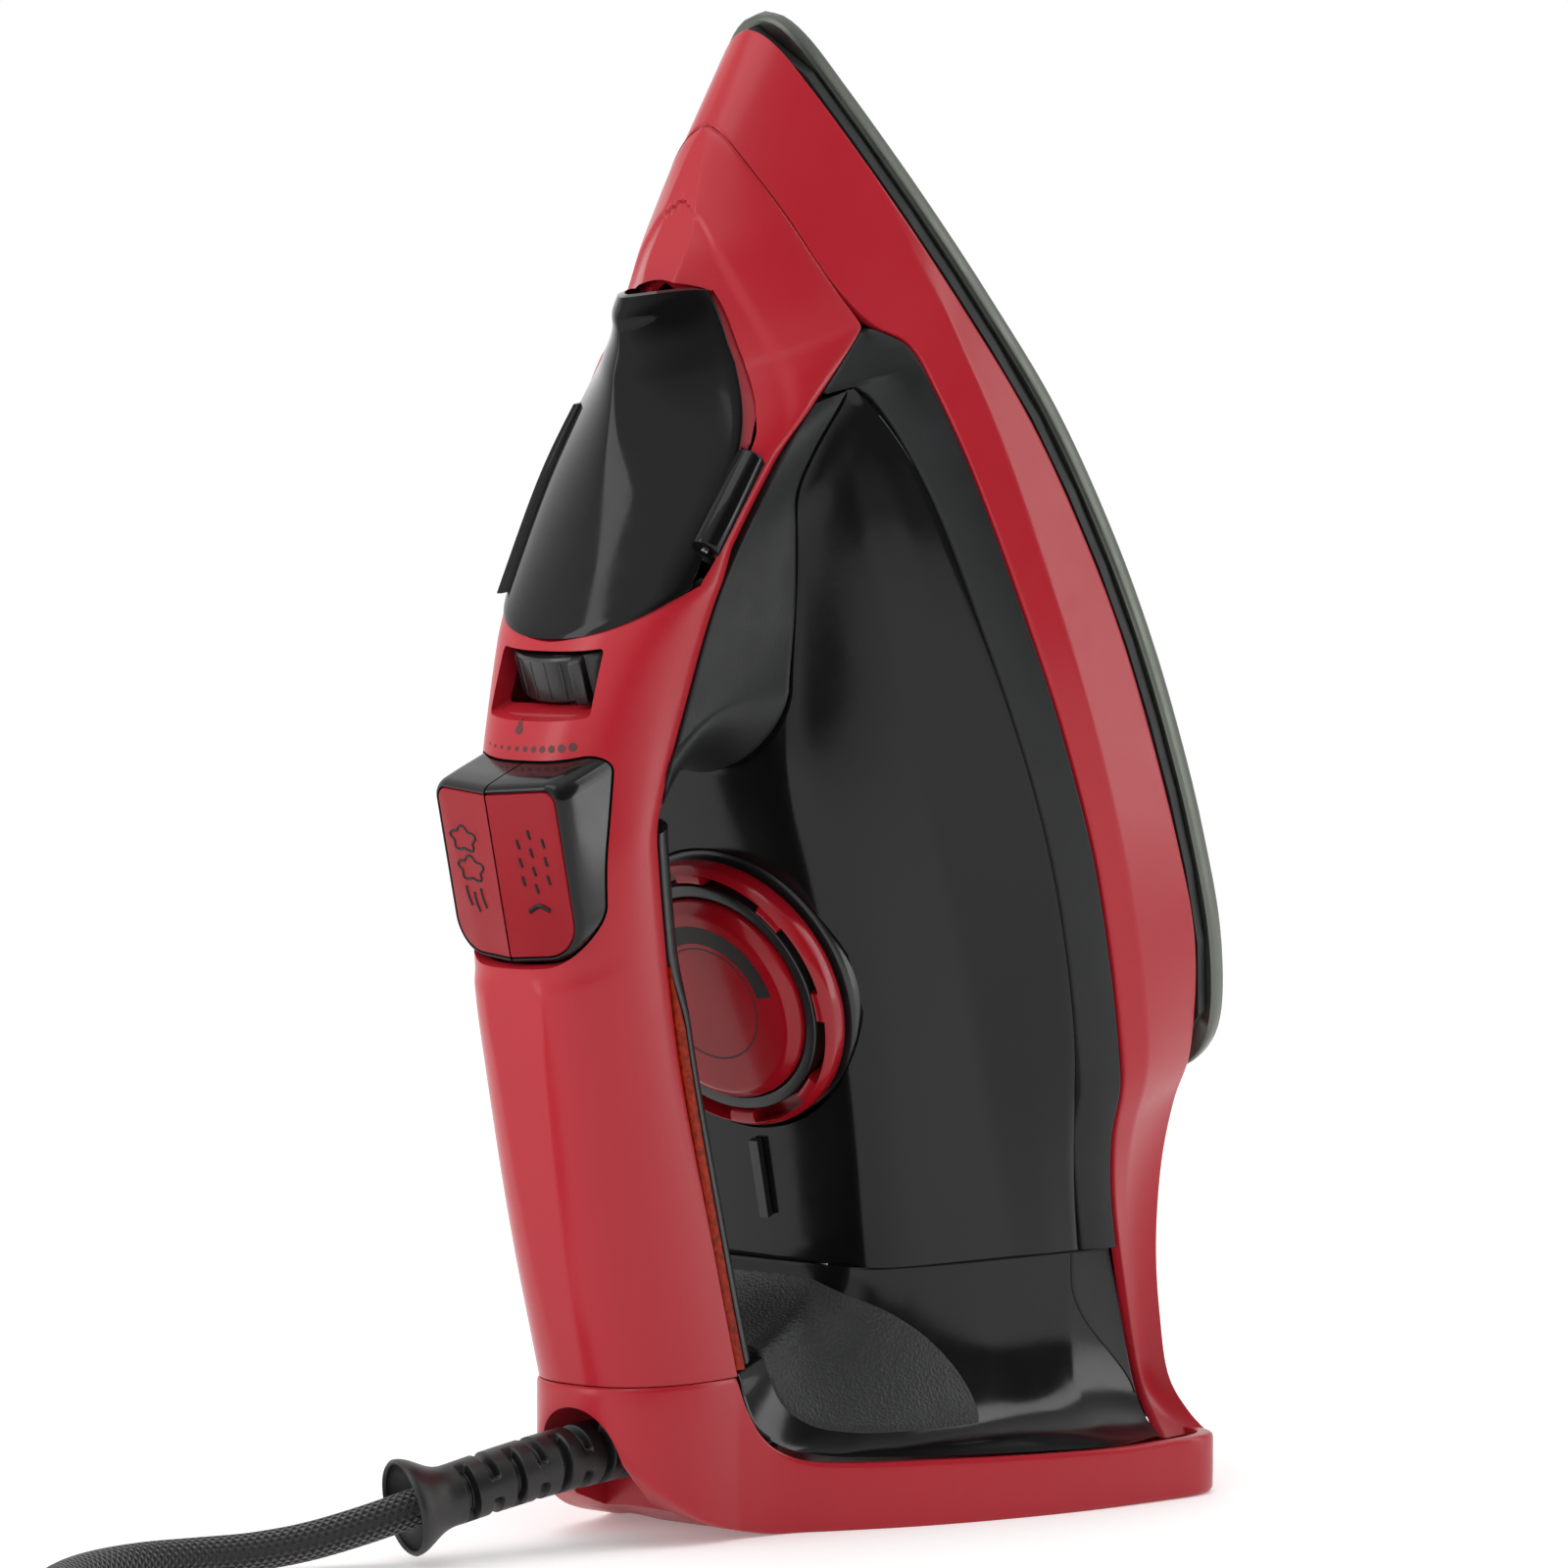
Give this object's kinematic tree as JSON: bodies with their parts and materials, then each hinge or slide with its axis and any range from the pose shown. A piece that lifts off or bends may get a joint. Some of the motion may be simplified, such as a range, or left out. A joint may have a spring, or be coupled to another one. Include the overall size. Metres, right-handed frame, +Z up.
{
  "type": "clothes iron",
  "caption": "Corded steam iron standing on its heel, with fill lid, steam slider, two push buttons, temperature dial, soleplate and a braided mains cord.",
  "frame": {"origin": "on the floor, under the middle of the iron's box without its cord", "axes": "+Z up with the iron standing on its heel, +X from the handle towards the soleplate, -Y towards the iron's right side"},
  "size_m": [0.3633, 0.1663, 0.2989],
  "materials": {
    "red_plastic": "satin",
    "clear_red": "gloss",
    "black_plastic": "satin",
    "matte_black": "fine grain",
    "smoked_plastic": "gloss",
    "amber_plastic": "gloss",
    "steel": "brushed",
    "cast_aluminium": "cast",
    "brass": "plain",
    "white_plastic": "plain",
    "cord_cover": "braided",
    "guard_rubber": "satin"
  },
  "bodies": {
    "iron": {"cord_clamp": "white_plastic", "cord_coil": "cord_cover", "cord_guard": "guard_rubber", "cord_tail": "cord_cover", "cord_tie": "matte_black", "dial_collar": "black_plastic", "dial_pointer": "matte_black", "fill_spout": "black_plastic", "front_pillar": "matte_black", "handle_cover": "red_plastic", "handle_underside": "black_plastic", "heater_block": "cast_aluminium", "heating_element": "steel", "heel_base": "red_plastic", "heel_grip_pad": "matte_black", "heel_screw_left": "steel", "heel_screw_right": "steel", "lid_hinge_pin": "steel", "lid_tray": "red_plastic", "light_strip_left": "amber_plastic", "light_strip_right": "amber_plastic", "mains_cord": "cord_cover", "plug": "black_plastic", "plug_blade_1": "brass", "plug_blade_2": "brass", "rear_bottom_cover": "matte_black", "rear_housing": "black_plastic", "skirt": "red_plastic", "sole_seal": "matte_black", "soleplate": "steel", "spray_nozzle": "black_plastic", "spray_pump": "white_plastic", "spray_spring": "steel", "steam_chamber_cover": "cast_aluminium", "steam_pump": "white_plastic", "steam_spring": "steel", "steam_valve_rod": "brass", "tank_floor": "smoked_plastic", "tank_trim_left": "matte_black", "tank_trim_right": "matte_black", "terminal_block": "white_plastic", "thermal_fuse": "white_plastic", "thermostat": "white_plastic", "water_tank": "smoked_plastic"},
    "lid": {"fill_lid": "smoked_plastic"},
    "slider": {"steam_slider": "black_plastic"},
    "steam_button": {"steam_button": "black_plastic", "steam_button_face": "red_plastic", "steam_plunger": "white_plastic"},
    "spray_button": {"spray_button": "black_plastic", "spray_button_face": "red_plastic", "spray_plunger": "white_plastic"},
    "dial": {"dial_hub": "black_plastic", "dial_cap": "clear_red", "dial_ring": "clear_red", "dial_shaft": "brass"}
  },
  "joints": [
    {"name": "lid_hinge", "type": "hinge", "parent": "iron", "child": "lid", "pos_m": [-0.0444, -0.0239, 0.19379], "axis": [0.5961, -0.0332, 0.8022], "range_deg": [0, 100]},
    {"name": "slider_turn", "type": "hinge", "parent": "iron", "child": "slider", "pos_m": [-0.04841, 0, 0.17381], "axis": [0.342, 0, -0.9397], "range_deg": [0, 56]},
    {"name": "steam_button_press", "type": "slide", "parent": "iron", "child": "steam_button", "axis": [0.9397, 0, 0.342], "range_m": [0, 0.004], "stiffness_N_per_m": 400, "springref_m": -0.003, "deforming": ["steam_spring"]},
    {"name": "spray_button_press", "type": "slide", "parent": "iron", "child": "spray_button", "axis": [0.9397, 0, 0.342], "range_m": [0, 0.004], "stiffness_N_per_m": 400, "springref_m": -0.003, "deforming": ["spray_spring"]},
    {"name": "dial_turn", "type": "hinge", "parent": "iron", "child": "dial", "pos_m": [-0.01474, 0, 0.10296], "axis": [-0.9397, 0, -0.342], "range_deg": [-140, 140]}
  ]
}
